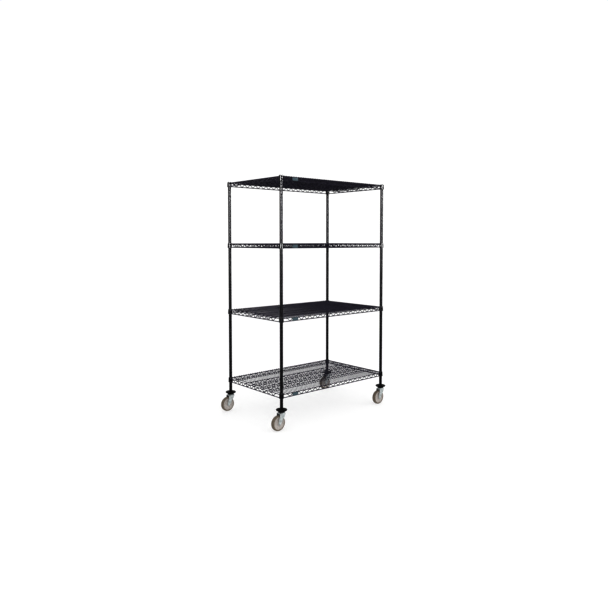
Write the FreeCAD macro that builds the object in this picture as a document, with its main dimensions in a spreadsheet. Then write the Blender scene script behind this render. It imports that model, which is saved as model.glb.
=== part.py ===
import FreeCAD, Part

import os

import Sketcher

# A four-shelf wire cart on swivel casters, in millimetres, +Z up.
# The origin is on the floor, in the middle of the cart's outline seen from above.
# The long side of the shelves runs along X, and the front is towards -Y.
# All four casters trail towards -X, as they do after the cart was pushed towards +X.

os.makedirs("parts", exist_ok=True)
doc = FreeCAD.newDocument("wire_shelf_cart")

# Driving dimensions: alias, value, note
DIMENSIONS = (
    ("post_half_long", "590.55", "half the distance between posts along X"),
    ("post_half_deep", "361.95", "half the distance between posts along Y"),
    ("post_bottom", "156.4", "height of the lower end of the posts"),
    ("post_length", "1866", "length of a post"),
    ("post_radius", "12.7", "outer radius of a post"),
    ("post_bore", "11.1", "inner radius of a post"),
    ("groove_first", "15", "lower end of the post to its first groove"),
    ("groove_pitch", "25.4", "distance between grooves"),
    ("groove_count", "73", "grooves on a post"),
    ("groove_depth", "1", "depth of a groove"),
    ("groove_mouth", "2.6", "width of a groove at the surface"),
    ("groove_floor", "1.6", "width of a groove at its floor"),
    ("cap_radius", "12.9", "outer radius of a post cap"),
    ("cap_head", "2", "height of a post cap above the post"),
    ("cap_bevel", "0.8", "bevel around a post cap"),
    ("cap_plug_radius", "11", "radius of the plug under a post cap"),
    ("cap_plug_depth", "15", "depth of the plug under a post cap"),
    ("shelf_bottom", "277", "reference height of the bottom shelf"),
    ("shelf_lower", "886.6", "reference height of the second shelf"),
    ("shelf_upper", "1470.8", "reference height of the third shelf"),
    ("shelf_top", "2004.2", "reference height of the top shelf"),
    ("edge_offset", "11", "edge trusses stand this far outside the post axes"),
    ("edge_gap", "17.4", "post axis to the end of an edge wire, along the edge"),
    ("edge_radius", "3.2", "radius of the edge wires"),
    ("truss_top", "8", "upper truss wire above the shelf's reference"),
    ("truss_drop", "26.5", "upper to lower truss wire"),
    ("inner_radius", "2.5", "radius of the inner lengthwise wires"),
    ("inner_top", "8.7", "upper wire of an inner truss above the reference"),
    ("inner_spacing", "120.6", "distance between inner trusses"),
    ("inner_gap", "0.05", "inner wires stop this far short of the end wires"),
    ("strut_radius", "2.45", "radius of the zigzag wire"),
    ("strut_run", "23.5", "length of one zigzag leg along the truss"),
    ("strut_inset", "3.25", "half the flat between two zigzag legs"),
    ("zigzag_pitch", "60", "length of one zigzag period"),
    ("zigzag_long", "18", "zigzag periods on a long truss"),
    ("zigzag_deep", "10", "zigzag periods on an end truss"),
    ("deck_wire_radius", "2.15", "radius of the deck wires"),
    ("deck_wire_level", "13.4", "deck wire axis above the reference"),
    ("deck_wire_pitch", "25.2", "distance between deck wires"),
    ("deck_wire_count", "46", "deck wires on a shelf"),
    ("deck_wire_reach", "376", "half the length of a deck wire"),
    ("end_wire_x", "584.3", "middle of the shelf to a short wire beside the end truss"),
    ("end_wire_reach", "340", "half the length of a short wire, which stops at the collars"),
    ("tie_level", "9.35", "axis of the two single tie wires above the reference"),
    ("tie_half_spacing", "241.2", "tie wires to the middle of the shelf"),
    ("collar_below", "22", "collar's lower end under the reference"),
    ("collar_above", "16", "collar's upper end above the reference"),
    ("collar_radius_low", "19.05", "outer radius of a collar at its lower end"),
    ("collar_radius_high", "17.3", "outer radius of a collar at its upper end"),
    ("collar_bore_low", "16.6", "bore radius of a collar at its lower end"),
    ("collar_bore_high", "15.6", "bore radius of a collar at its upper end"),
    ("sleeve_below", "25", "sleeve's lower end under the reference"),
    ("sleeve_above", "17", "sleeve's upper end above the reference"),
    ("sleeve_radius_low", "16.55", "outer radius of a sleeve at its lower end"),
    ("sleeve_radius_high", "15.45", "outer radius of a sleeve at its upper end"),
    ("sleeve_bore", "12.8", "bore radius of a sleeve"),
    ("sleeve_arc", "176", "angle that one sleeve half covers"),
    ("rib_level", "4", "sleeve's inner rib under the reference"),
    ("rib_height", "0.5", "how far the rib stands into the groove"),
    ("rib_tip", "0.8", "width of the rib at its tip"),
    ("rib_root", "1.6", "width of the rib at its root"),
    ("plate_width", "61", "width of the label plate"),
    ("plate_height", "29", "height of the label plate"),
    ("plate_thickness", "1.8", "thickness of the label plate"),
    ("plate_corner", "5", "corner radius of the label plate"),
    ("plate_from_post", "132", "left post axis to the middle of the label plate"),
    ("plate_drop", "5", "middle of the label plate under the reference"),
    ("plate_clearance", "0.1", "label plate to the wires behind it"),
    ("bumper_radius", "44.45", "outer radius of a bumper"),
    ("bumper_round", "5", "rounding of the bumper's rim"),
    ("bumper_flange_low", "157", "lower side of the bumper's rim"),
    ("bumper_flange_high", "168", "upper side of the bumper's rim"),
    ("bumper_bottom", "145", "lower end of a bumper"),
    ("bumper_top", "175", "upper end of a bumper"),
    ("bumper_hub_radius", "16.8", "radius of the bumper's upper hub"),
    ("bumper_base_radius", "27", "radius of the bumper's lower end"),
    ("bumper_bore", "12.9", "bumper's socket for the post"),
    ("bumper_stem_bore", "6", "bumper's bore for the caster stem"),
    ("stem_radius", "5.6", "radius of the caster stem"),
    ("stem_neck_radius", "6", "radius of the kingpin in the fork"),
    ("stem_top", "238", "upper end of the caster stem"),
    ("insert_radius", "10.9", "radius of the expanding insert"),
    ("insert_top", "216", "upper end of the expanding insert"),
    ("insert_bottom", "156.6", "lower end of the expanding insert"),
    ("race_radius", "24", "radius of the upper raceway"),
    ("race_high", "144.8", "upper side of the raceway"),
    ("race_low", "140.8", "lower side of the raceway"),
    ("rivet_radius", "9", "radius of the kingpin's rivet head"),
    ("rivet_high", "135.2", "upper side of the rivet head"),
    ("rivet_low", "129.5", "lower side of the rivet head"),
    ("trail", "35", "swivel axis to the wheel axle"),
    ("fork_top", "140.5", "upper side of the fork crown"),
    ("fork_crown_low", "135.5", "lower side of the fork crown"),
    ("fork_half_width", "23", "half the outer width of the fork"),
    ("fork_inside", "19", "half the inner width of the fork"),
    ("fork_front", "24", "leading edge of the fork at the crown"),
    ("fork_back", "31", "trailing edge of the fork at the crown"),
    ("fork_boss_radius", "14", "radius of the fork around the axle"),
    ("fork_hole", "4.1", "radius of the axle holes"),
    ("fork_bend", "3", "rounding of the crown's long edges"),
    ("kingpin_clearance", "0.05", "kingpin to its hole in the fork"),
    ("axle_level", "61", "height of the wheel axle"),
    ("axle_radius", "4", "radius of the axle bolt"),
    ("bolt_flats", "13", "width across the flats of bolt head and nut"),
    ("bolt_head_height", "5.3", "height of the bolt head"),
    ("nut_height", "6.8", "height of the nut"),
    ("nut_clearance", "0.05", "nut to bolt and to fork"),
    ("bolt_end", "2", "bolt end beyond the nut"),
    ("bushing_radius", "6.3", "outer radius of the spanner bushing"),
    ("bushing_bore", "4.1", "bore radius of the spanner bushing"),
    ("bushing_half", "18.95", "half the length of the spanner bushing"),
    ("wheel_radius", "61", "radius of the wheel over its tyre"),
    ("tyre_half", "16", "half the width of the tyre"),
    ("tyre_bore", "49.9", "inner radius of the tyre"),
    ("tyre_round", "6", "rounding of the tyre's shoulders"),
    ("core_radius", "49.8", "outer radius of the wheel core"),
    ("core_rim_half", "14.5", "half the width of the core's rim"),
    ("core_rim_inner", "43", "inner radius of the core's rim"),
    ("core_web_half", "8", "half the thickness of the core's web"),
    ("core_hub_radius", "15", "radius of the core's hub"),
    ("core_hub_half", "17.5", "half the length of the core's hub"),
    ("core_bore", "6.35", "bore radius of the core"),
)

dims = doc.addObject("Spreadsheet::Sheet", "dims")
for row, (alias, number, note) in enumerate(DIMENSIONS, start=1):
    dims.set(f"A{row}", note)
    dims.set(f"B{row}", number)
    dims.setAlias(f"B{row}", alias)
doc.recompute()

NODES = []


def value(expression):
    """The number that an expression on the sheet has."""
    return float(dims.evalExpression(expression))


def place(obj, x="0", y="0", z="0"):
    """Bind an object's position to the sheet."""
    for axis, expression in (("x", x), ("y", y), ("z", z)):
        if expression != "0":
            obj.setExpression(f"Placement.Base.{axis}", expression)


def node(obj, name):
    """Make an object one of the cart's named pieces."""
    obj.Label = name
    NODES.append(obj)
    return obj


# ---- sketches and features -------------------------------------------------


def sketch_on(body, role, name):
    sketch = body.newObject("Sketcher::SketchObject", name)
    plane = [f for f in body.Origin.OriginFeatures if f.Role == role][0]
    sketch.AttachmentSupport = [(plane, "")]
    sketch.MapMode = "FlatFace"
    return sketch


def hold(sketch, kind, geometry, point, expression):
    """Bind one coordinate of a sketch point to an expression on the sheet."""
    axis = -2 if kind == "DistanceX" else -1
    if expression == "0":
        sketch.addConstraint(Sketcher.Constraint("PointOnObject", geometry, point, axis))
        return
    amount = value(expression)
    index = sketch.addConstraint(Sketcher.Constraint(kind, -1, 1, geometry, point, amount))
    sketch.setExpression(f"Constraints[{index}]", expression)


def outline(body, role, name, corners):
    """A closed sketch of straight lines whose corners are bound to the sheet."""
    sketch = sketch_on(body, role, name)
    points = [FreeCAD.Vector(value(x), value(y), 0) for x, y in corners]
    for i, start in enumerate(points):
        sketch.addGeometry(Part.LineSegment(start, points[(i + 1) % len(points)]), False)
    for i in range(len(points)):
        following = (i + 1) % len(points)
        sketch.addConstraint(Sketcher.Constraint("Coincident", i, 2, following, 1))
    for i, (x, y) in enumerate(corners):
        hold(sketch, "DistanceX", i, 1, x)
        hold(sketch, "DistanceY", i, 1, y)
    return sketch


def circles(body, role, name, rings):
    """A sketch of circles: (x, y, radius) each, bound to the sheet."""
    sketch = sketch_on(body, role, name)
    for i, (x, y, radius) in enumerate(rings):
        centre = FreeCAD.Vector(value(x), value(y), 0)
        sketch.addGeometry(Part.Circle(centre, FreeCAD.Vector(0, 0, 1), value(radius)), False)
        hold(sketch, "DistanceX", i, 3, x)
        hold(sketch, "DistanceY", i, 3, y)
        index = sketch.addConstraint(Sketcher.Constraint("Radius", i, value(radius)))
        sketch.setExpression(f"Constraints[{index}]", radius)
    return sketch


def new_body(name):
    return doc.addObject("PartDesign::Body", name)


def pad(body, sketch, length, symmetric=False, reverse=False):
    feature = body.newObject("PartDesign::Pad", f"{sketch.Name}_pad")
    feature.Profile = sketch
    feature.setExpression("Length", length)
    feature.SideType = "Symmetric" if symmetric else "One side"
    feature.Reversed = reverse
    return feature


def pocket(body, sketch, length, symmetric=False, reverse=False):
    """A pocket that must take material away."""
    doc.recompute()
    before = body.Shape.Volume
    feature = body.newObject("PartDesign::Pocket", f"{sketch.Name}_pocket")
    feature.Profile = sketch
    feature.setExpression("Length", length)
    feature.SideType = "Symmetric" if symmetric else "One side"
    feature.Reversed = reverse
    doc.recompute()
    if not body.Shape.Volume < before:
        raise RuntimeError(f"{feature.Name} cuts nothing")
    return feature


def revolution(body, sketch, angle="360", axis="V_Axis"):
    feature = body.newObject("PartDesign::Revolution", f"{sketch.Name}_turned")
    feature.Profile = sketch
    feature.ReferenceAxis = (sketch, [axis])
    feature.Midplane = angle != "360"
    feature.setExpression("Angle", angle)
    return feature


def pattern(body, feature, sketch, axis, pitch, count):
    """Repeat a feature in a row along a sketch axis."""
    row = body.newObject("PartDesign::LinearPattern", f"{feature.Name}_row")
    row.Originals = [feature]
    row.Direction = (sketch, [axis])
    row.setExpression("Occurrences", count)
    row.setExpression("Length", f"({pitch}) * ({count} - 1)")
    body.Tip = row
    return row


def round_edges(body, feature, radius, wanted):
    """Fillet the edges of a feature that wanted picks."""
    doc.recompute()
    names = [f"Edge{i}" for i, e in enumerate(feature.Shape.Edges, start=1) if wanted(e)]
    if not names:
        raise RuntimeError(f"{feature.Name} has no edge to round")
    fillet = body.newObject("PartDesign::Fillet", f"{feature.Name}_round")
    fillet.Base = (feature, names)
    fillet.setExpression("Radius", radius)
    return fillet


def turned(name, corners, angle="360"):
    """A body turned about its own Z axis from corners given as (radius, height)."""
    body = new_body(name)
    revolution(body, outline(body, "XZ_Plane", f"{name}_profile", corners), angle)
    return body


def copy_of(source, name, x="0", y="0", z="0"):
    """The same piece again, moved by x, y and z."""
    twin = doc.addObject("Part::Compound", name)
    twin.Links = [source]
    place(twin, x, y, z)
    return twin


def group(sources, name):
    """Identical separate pieces that share one node."""
    together = doc.addObject("Part::Compound", name)
    together.Links = sources
    return together


# ---- where things stand ----------------------------------------------------

# The trailing wheels reach further towards -X than the bumpers reach towards +X,
# so the posts stand a little towards +X of the middle of the outline.
SHIFT = "(dims.trail + dims.wheel_radius - dims.bumper_radius) / 2"
LONG = "dims.post_half_long"
DEEP = "dims.post_half_deep"
CORNERS = {
    "front_left": (f"{SHIFT} - {LONG}", f"-{DEEP}"),
    "front_right": (f"{SHIFT} + {LONG}", f"-{DEEP}"),
    "back_left": (f"{SHIFT} - {LONG}", f"{DEEP}"),
    "back_right": (f"{SHIFT} + {LONG}", f"{DEEP}"),
}
FIRST = "front_left"
SHELVES = {
    "bottom": "dims.shelf_bottom",
    "lower": "dims.shelf_lower",
    "upper": "dims.shelf_upper",
    "top": "dims.shelf_top",
}


def at_corners(master, prefix):
    """The master stands at the first corner; copies stand at the other three."""
    home_x, home_y = CORNERS[FIRST]
    found = {FIRST: master}
    for corner, (x, y) in CORNERS.items():
        if corner != FIRST:
            moved_x = f"({x}) - ({home_x})"
            moved_y = f"({y}) - ({home_y})"
            found[corner] = copy_of(master, f"{prefix}_{corner}", moved_x, moved_y)
    return found


def corner_nodes(master, prefix):
    for corner, piece in at_corners(master, prefix).items():
        node(piece, f"{prefix}_{corner}")


def shelf_nodes(master, suffix):
    """The master belongs to the bottom shelf; copies belong to the other three."""
    for shelf, level in SHELVES.items():
        name = f"{shelf}_shelf_{suffix}"
        if shelf == "bottom":
            node(master, name)
        else:
            node(copy_of(master, name, z=f"{level} - dims.shelf_bottom"), name)


# ---- posts and caps --------------------------------------------------------

post = turned(
    "post_front_left",
    (
        ("dims.post_bore", "0"),
        ("dims.post_radius", "0"),
        ("dims.post_radius", "dims.post_length"),
        ("dims.post_bore", "dims.post_length"),
    ),
)
groove_sketch = outline(
    post,
    "XZ_Plane",
    "groove_profile",
    (
        ("dims.post_radius + dims.groove_depth", "dims.groove_first - dims.groove_mouth"),
        ("dims.post_radius - dims.groove_depth", "dims.groove_first - dims.groove_floor / 2"),
        ("dims.post_radius - dims.groove_depth", "dims.groove_first + dims.groove_floor / 2"),
        ("dims.post_radius + dims.groove_depth", "dims.groove_first + dims.groove_mouth"),
    ),
)
doc.recompute()
plain_volume = post.Shape.Volume
groove = post.newObject("PartDesign::Groove", "groove")
groove.Profile = groove_sketch
groove.ReferenceAxis = (groove_sketch, ["V_Axis"])
doc.recompute()
if not post.Shape.Volume < plain_volume:
    raise RuntimeError("the groove cuts nothing")
pattern(post, groove, groove_sketch, "V_Axis", "dims.groove_pitch", "dims.groove_count")
place(post, *CORNERS[FIRST], "dims.post_bottom")
corner_nodes(post, "post")

cap = turned(
    "post_cap",
    (
        ("0", "-dims.cap_plug_depth"),
        ("dims.cap_plug_radius", "-dims.cap_plug_depth"),
        ("dims.cap_plug_radius", "0"),
        ("dims.cap_radius", "0"),
        ("dims.cap_radius", "dims.cap_head - dims.cap_bevel"),
        ("dims.cap_radius - dims.cap_bevel", "dims.cap_head"),
        ("0", "dims.cap_head"),
    ),
)
place(cap, *CORNERS[FIRST], "dims.post_bottom + dims.post_length")
node(group(list(at_corners(cap, "cap").values()), "post_caps"), "post_caps")

# ---- shelves ---------------------------------------------------------------


def truss(name, half_length, outer_radius, top_level, periods, role, axis):
    """Upper and lower wire with a zigzag between them, along X or Y, at mid-length 0."""
    body = new_body(name)
    low_level = f"({top_level} - dims.truss_drop)"
    wires = circles(
        body,
        role,
        f"{name}_wires",
        (("0", top_level, outer_radius), ("0", low_level, outer_radius)),
    )
    pad(body, wires, f"2 * ({half_length})", symmetric=True)
    start = f"-dims.zigzag_pitch * {periods} / 2 + dims.strut_inset"
    middle = f"-dims.zigzag_pitch * ({periods} - 1) / 2 + dims.strut_inset"
    turn = FreeCAD.Vector(0, 1, 0) if axis == "x" else FreeCAD.Vector(-1, 0, 0)
    along = sketch_on(body, "XY_Plane", f"{name}_direction")
    direction = "H_Axis" if axis == "x" else "V_Axis"
    legs = (
        ("falling", start, top_level, "-dims.truss_drop"),
        ("rising", middle, low_level, "dims.truss_drop"),
    )
    for leg, where, level, climb in legs:
        strut = body.newObject("PartDesign::AdditiveCylinder", f"{name}_{leg}_leg")
        tilt = f"atan2(dims.strut_run; {climb})"
        strut.Placement.Rotation = FreeCAD.Rotation(turn, value(tilt))
        strut.setExpression("Placement.Rotation.Angle", tilt)
        strut.setExpression(f"Placement.Base.{axis}", where)
        strut.setExpression("Placement.Base.z", level)
        strut.setExpression("Radius", "dims.strut_radius")
        strut.setExpression("Height", "hypot(dims.strut_run; dims.truss_drop)")
        pattern(body, strut, along, direction, "dims.zigzag_pitch", periods)
    return body


edge_y = "(dims.post_half_deep + dims.edge_offset)"
edge_x = "(dims.post_half_long + dims.edge_offset)"

front_truss = truss(
    "bottom_shelf_front_truss",
    "dims.post_half_long - dims.edge_gap",
    "dims.edge_radius",
    "dims.truss_top",
    "dims.zigzag_long",
    "YZ_Plane",
    "x",
)
place(front_truss, SHIFT, f"-{edge_y}", "dims.shelf_bottom")
shelf_nodes(front_truss, "front_truss")
back_truss = copy_of(front_truss, "bottom_shelf_back_truss", y=f"2 * {edge_y}")
shelf_nodes(back_truss, "back_truss")

left_truss = truss(
    "left_truss",
    "dims.post_half_deep - dims.edge_gap",
    "dims.edge_radius",
    "dims.truss_top",
    "dims.zigzag_deep",
    "XZ_Plane",
    "y",
)
place(left_truss, f"{SHIFT} - {edge_x}", "0", "dims.shelf_bottom")
right_truss = copy_of(left_truss, "right_truss", x=f"2 * {edge_x}")
end_trusses = group([left_truss, right_truss], "bottom_shelf_end_trusses")
shelf_nodes(end_trusses, "end_trusses")

inner_half = f"{edge_x} - dims.edge_radius - dims.inner_gap"
middle_truss = truss(
    "middle_truss",
    inner_half,
    "dims.inner_radius",
    "dims.inner_top",
    "dims.zigzag_long",
    "YZ_Plane",
    "x",
)
place(middle_truss, SHIFT, "0", "dims.shelf_bottom")
front_inner = copy_of(middle_truss, "front_inner_truss", y="-dims.inner_spacing")
back_inner = copy_of(middle_truss, "back_inner_truss", y="dims.inner_spacing")
inner_trusses = group([front_inner, middle_truss, back_inner], "bottom_shelf_inner_trusses")
shelf_nodes(inner_trusses, "inner_trusses")

# The deck wires run from front to back and are welded to two single tie wires. A shorter
# one fits between the collars at each end.
deck = new_body("bottom_shelf_deck")
tie_rings = tuple(
    (f"{side}dims.tie_half_spacing", "dims.tie_level", "dims.inner_radius")
    for side in ("-", "")
)
ties = circles(deck, "YZ_Plane", "tie_wires", tie_rings)
pad(deck, ties, f"2 * ({inner_half})", symmetric=True)
first_wire_x = "-dims.deck_wire_pitch * (dims.deck_wire_count - 1) / 2"
deck_wire = circles(
    deck,
    "XZ_Plane",
    "deck_wire",
    ((first_wire_x, "dims.deck_wire_level", "dims.deck_wire_radius"),),
)
first_wire = pad(deck, deck_wire, "2 * dims.deck_wire_reach", symmetric=True)
pattern(deck, first_wire, deck_wire, "H_Axis", "dims.deck_wire_pitch", "dims.deck_wire_count")
end_rings = tuple(
    (f"{side}dims.end_wire_x", "dims.deck_wire_level", "dims.deck_wire_radius")
    for side in ("-", "")
)
end_wires = circles(deck, "XZ_Plane", "end_wires", end_rings)
pad(deck, end_wires, "2 * dims.end_wire_reach", symmetric=True)
place(deck, SHIFT, "0", "dims.shelf_bottom")
shelf_nodes(deck, "deck")

# A collar is wider at its lower end, and so is the sleeve that wedges in it.
collar = turned(
    "collar",
    (
        ("dims.collar_bore_low", "-dims.collar_below"),
        ("dims.collar_radius_low", "-dims.collar_below"),
        ("dims.collar_radius_high", "dims.collar_above"),
        ("dims.collar_bore_high", "dims.collar_above"),
    ),
)
place(collar, *CORNERS[FIRST], "dims.shelf_bottom")
collars = group(list(at_corners(collar, "collar").values()), "bottom_shelf_collars")
shelf_nodes(collars, "collars")

sleeve_half = turned(
    "sleeve_half",
    (
        ("dims.sleeve_bore", "-dims.sleeve_below"),
        ("dims.sleeve_radius_low", "-dims.sleeve_below"),
        ("dims.sleeve_radius_high", "dims.sleeve_above"),
        ("dims.sleeve_bore", "dims.sleeve_above"),
        ("dims.sleeve_bore", "dims.rib_root / 2 - dims.rib_level"),
        ("dims.sleeve_bore - dims.rib_height", "dims.rib_tip / 2 - dims.rib_level"),
        ("dims.sleeve_bore - dims.rib_height", "-dims.rib_tip / 2 - dims.rib_level"),
        ("dims.sleeve_bore", "-dims.rib_root / 2 - dims.rib_level"),
    ),
    "dims.sleeve_arc",
)
other_half = doc.addObject("Part::Compound", "other_sleeve_half")
other_half.Links = [sleeve_half]
other_half.Placement.Rotation = FreeCAD.Rotation(FreeCAD.Vector(0, 0, 1), 180)
sleeve = group([sleeve_half, other_half], "sleeve")
place(sleeve, *CORNERS[FIRST], "dims.shelf_bottom")
sleeves = group(list(at_corners(sleeve, "sleeve").values()), "bottom_shelf_sleeves")
shelf_nodes(sleeves, "sleeves")

plate = new_body("label_plate")
plate_outline = outline(
    plate,
    "XZ_Plane",
    "plate_outline",
    (
        ("-dims.plate_width / 2", "-dims.plate_height / 2"),
        ("dims.plate_width / 2", "-dims.plate_height / 2"),
        ("dims.plate_width / 2", "dims.plate_height / 2"),
        ("-dims.plate_width / 2", "dims.plate_height / 2"),
    ),
)
plate_pad = pad(plate, plate_outline, "dims.plate_thickness")
round_edges(
    plate,
    plate_pad,
    "dims.plate_corner",
    lambda e: abs(e.Length - value("dims.plate_thickness")) < 0.01,
)
place(
    plate,
    f"{SHIFT} - {LONG} + dims.plate_from_post",
    f"-{edge_y} - dims.edge_radius - dims.plate_clearance",
    "dims.shelf_bottom - dims.plate_drop",
)
plates = [plate]
for shelf, level in SHELVES.items():
    if shelf != "bottom":
        plates.append(copy_of(plate, f"{shelf}_plate", z=f"{level} - dims.shelf_bottom"))
node(group(plates, "label_plates"), "label_plates")

# ---- bumpers and casters ---------------------------------------------------

bumper = turned(
    "bumper_front_left",
    (
        ("dims.bumper_stem_bore", "dims.bumper_bottom"),
        ("dims.bumper_base_radius", "dims.bumper_bottom"),
        ("dims.bumper_base_radius + 4", "dims.bumper_flange_low"),
        ("dims.bumper_radius", "dims.bumper_flange_low"),
        ("dims.bumper_radius", "dims.bumper_flange_high"),
        ("dims.bumper_hub_radius + 4", "dims.bumper_flange_high"),
        ("dims.bumper_hub_radius", "dims.bumper_top"),
        ("dims.bumper_bore", "dims.bumper_top"),
        ("dims.bumper_bore", "dims.post_bottom"),
        ("dims.bumper_stem_bore", "dims.post_bottom"),
    ),
)
rim = 2 * 3.14159 * value("dims.bumper_radius")
round_edges(
    bumper,
    bumper.Tip,
    "dims.bumper_round",
    lambda e: abs(e.Length - rim) < 0.1,
)
place(bumper, *CORNERS[FIRST])
corner_nodes(bumper, "bumper")

# Kingpin with its rivet head, upper raceway, stem and expanding insert
stem = turned(
    "caster_stem",
    (
        ("0", "dims.rivet_low"),
        ("dims.rivet_radius", "dims.rivet_low"),
        ("dims.rivet_radius", "dims.rivet_high"),
        ("dims.stem_neck_radius", "dims.rivet_high"),
        ("dims.stem_neck_radius", "dims.race_low"),
        ("dims.race_radius", "dims.race_low"),
        ("dims.race_radius", "dims.race_high"),
        ("dims.stem_radius", "dims.race_high"),
        ("dims.stem_radius", "dims.insert_bottom"),
        ("dims.insert_radius", "dims.insert_bottom"),
        ("dims.insert_radius", "dims.insert_top"),
        ("dims.stem_radius", "dims.insert_top"),
        ("dims.stem_radius", "dims.stem_top"),
        ("0", "dims.stem_top"),
    ),
)
place(stem, *CORNERS[FIRST])
node(group(list(at_corners(stem, "stem").values()), "caster_stems"), "caster_stems")

# The fork's two legs sweep back from the crown to the axle.
fork = new_body("fork_front_left")
fork_outline = outline(
    fork,
    "XZ_Plane",
    "fork_outline",
    (
        ("dims.fork_front", "dims.fork_top"),
        ("dims.fork_front - 2", "dims.fork_top - 16"),
        ("dims.fork_front - 22", "dims.axle_level + 33"),
        ("12 - dims.trail", "dims.axle_level - 7"),
        ("-dims.trail - dims.fork_boss_radius", "dims.axle_level"),
        ("-dims.trail - 7", "dims.axle_level + 27"),
        ("-dims.fork_back", "dims.fork_top - 20"),
        ("-dims.fork_back", "dims.fork_top"),
    ),
)
pad(fork, fork_outline, "2 * dims.fork_half_width", symmetric=True)
boss = circles(
    fork,
    "XZ_Plane",
    "fork_boss",
    (("-dims.trail", "dims.axle_level", "dims.fork_boss_radius"),),
)
boss_pad = pad(fork, boss, "2 * dims.fork_half_width", symmetric=True)
round_edges(
    fork,
    boss_pad,
    "dims.fork_bend",
    lambda e: e.Length > 50
    and abs(e.CenterOfMass.z - value("dims.fork_top")) < 0.01
    and abs(abs(e.CenterOfMass.y) - value("dims.fork_half_width")) < 0.01,
)
slot = outline(
    fork,
    "XZ_Plane",
    "fork_slot",
    (
        ("-2 * dims.trail", "0"),
        ("2 * dims.fork_front", "0"),
        ("2 * dims.fork_front", "dims.fork_crown_low"),
        ("-2 * dims.trail", "dims.fork_crown_low"),
    ),
)
pocket(fork, slot, "2 * dims.fork_inside", symmetric=True)
axle_hole = circles(
    fork,
    "XZ_Plane",
    "axle_hole",
    (("-dims.trail", "dims.axle_level", "dims.fork_hole"),),
)
pocket(fork, axle_hole, "4 * dims.fork_half_width", symmetric=True)
kingpin_hole = circles(
    fork,
    "XY_Plane",
    "kingpin_hole",
    (("0", "0", "dims.stem_neck_radius + dims.kingpin_clearance"),),
)
pocket(fork, kingpin_hole, "2 * dims.fork_top", reverse=True)
place(fork, *CORNERS[FIRST])
corner_nodes(fork, "fork")

# The wheel's pieces have their own origin in the middle of the axle, along Y.
axle_x = f"{CORNERS[FIRST][0]} - dims.trail"
axle_y = CORNERS[FIRST][1]

bushing = new_body("wheel_bushing_front_left")
bushing_rings = circles(
    bushing,
    "XZ_Plane",
    "bushing_rings",
    (("0", "0", "dims.bushing_radius"), ("0", "0", "dims.bushing_bore")),
)
pad(bushing, bushing_rings, "2 * dims.bushing_half", symmetric=True)
place(bushing, axle_x, axle_y, "dims.axle_level")
corner_nodes(bushing, "wheel_bushing")


def hexagon(body, name, bore=None):
    """A hexagon on the XZ plane with two corners on X, with a round bore if it has one."""
    half = "dims.bolt_flats / 2"
    corner = "dims.bolt_flats / sqrt(3)"
    corners = (
        (corner, "0"),
        (f"{corner} / 2", half),
        (f"-{corner} / 2", half),
        (f"-{corner}", "0"),
        (f"-{corner} / 2", f"-{half}"),
        (f"{corner} / 2", f"-{half}"),
    )
    sketch = outline(body, "XZ_Plane", name, corners)
    if bore:
        ring = Part.Circle(FreeCAD.Vector(0, 0, 0), FreeCAD.Vector(0, 0, 1), value(bore))
        index = sketch.addGeometry(ring, False)
        sketch.addConstraint(Sketcher.Constraint("Coincident", index, 3, -1, 1))
        radius = sketch.addConstraint(Sketcher.Constraint("Radius", index, value(bore)))
        sketch.setExpression(f"Constraints[{radius}]", bore)
    return sketch


seat = "(dims.fork_half_width + dims.nut_clearance)"
bolt = new_body("axle_bolt")
bolt_head = hexagon(bolt, "bolt_head")
bolt_head.setExpression("AttachmentOffset.Base.z", seat)
pad(bolt, bolt_head, "dims.bolt_head_height")
shank = circles(bolt, "XZ_Plane", "bolt_shank", (("0", "0", "dims.axle_radius"),))
shank.setExpression("AttachmentOffset.Base.z", seat)
shank_length = f"2 * {seat} + dims.nut_height + dims.bolt_end"
pad(bolt, shank, shank_length, reverse=True)

nut = new_body("axle_nut")
nut_ring = hexagon(nut, "nut_ring", "dims.axle_radius + dims.nut_clearance")
nut_ring.setExpression("AttachmentOffset.Base.z", f"-{seat}")
pad(nut, nut_ring, "dims.nut_height", reverse=True)
axle = group([bolt, nut], "axle_front_left")
place(axle, axle_x, axle_y, "dims.axle_level")
corner_nodes(axle, "axle")


def wheel_ring(name, corners):
    """A body turned about its own Y axis from corners given as (radius, width)."""
    body = new_body(name)
    revolution(body, outline(body, "XY_Plane", f"{name}_profile", corners))
    return body


tyre = wheel_ring(
    "tyre_front_left",
    (
        ("dims.tyre_bore", "-dims.tyre_half"),
        ("dims.wheel_radius", "-dims.tyre_half"),
        ("dims.wheel_radius", "dims.tyre_half"),
        ("dims.tyre_bore", "dims.tyre_half"),
    ),
)
tread = 2 * 3.14159 * value("dims.wheel_radius")
round_edges(
    tyre,
    tyre.Tip,
    "dims.tyre_round",
    lambda e: abs(e.Length - tread) < 0.1,
)
place(tyre, axle_x, axle_y, "dims.axle_level")
corner_nodes(tyre, "tyre")

core = wheel_ring(
    "wheel_core_front_left",
    (
        ("dims.core_bore", "-dims.core_hub_half"),
        ("dims.core_hub_radius", "-dims.core_hub_half"),
        ("dims.core_hub_radius", "-dims.core_web_half"),
        ("dims.core_rim_inner", "-dims.core_web_half"),
        ("dims.core_rim_inner", "-dims.core_rim_half"),
        ("dims.core_radius", "-dims.core_rim_half"),
        ("dims.core_radius", "dims.core_rim_half"),
        ("dims.core_rim_inner", "dims.core_rim_half"),
        ("dims.core_rim_inner", "dims.core_web_half"),
        ("dims.core_hub_radius", "dims.core_web_half"),
        ("dims.core_hub_radius", "dims.core_hub_half"),
        ("dims.core_bore", "dims.core_hub_half"),
    ),
)
place(core, axle_x, axle_y, "dims.axle_level")
corner_nodes(core, "wheel_core")

# ---- check and write -------------------------------------------------------

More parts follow.
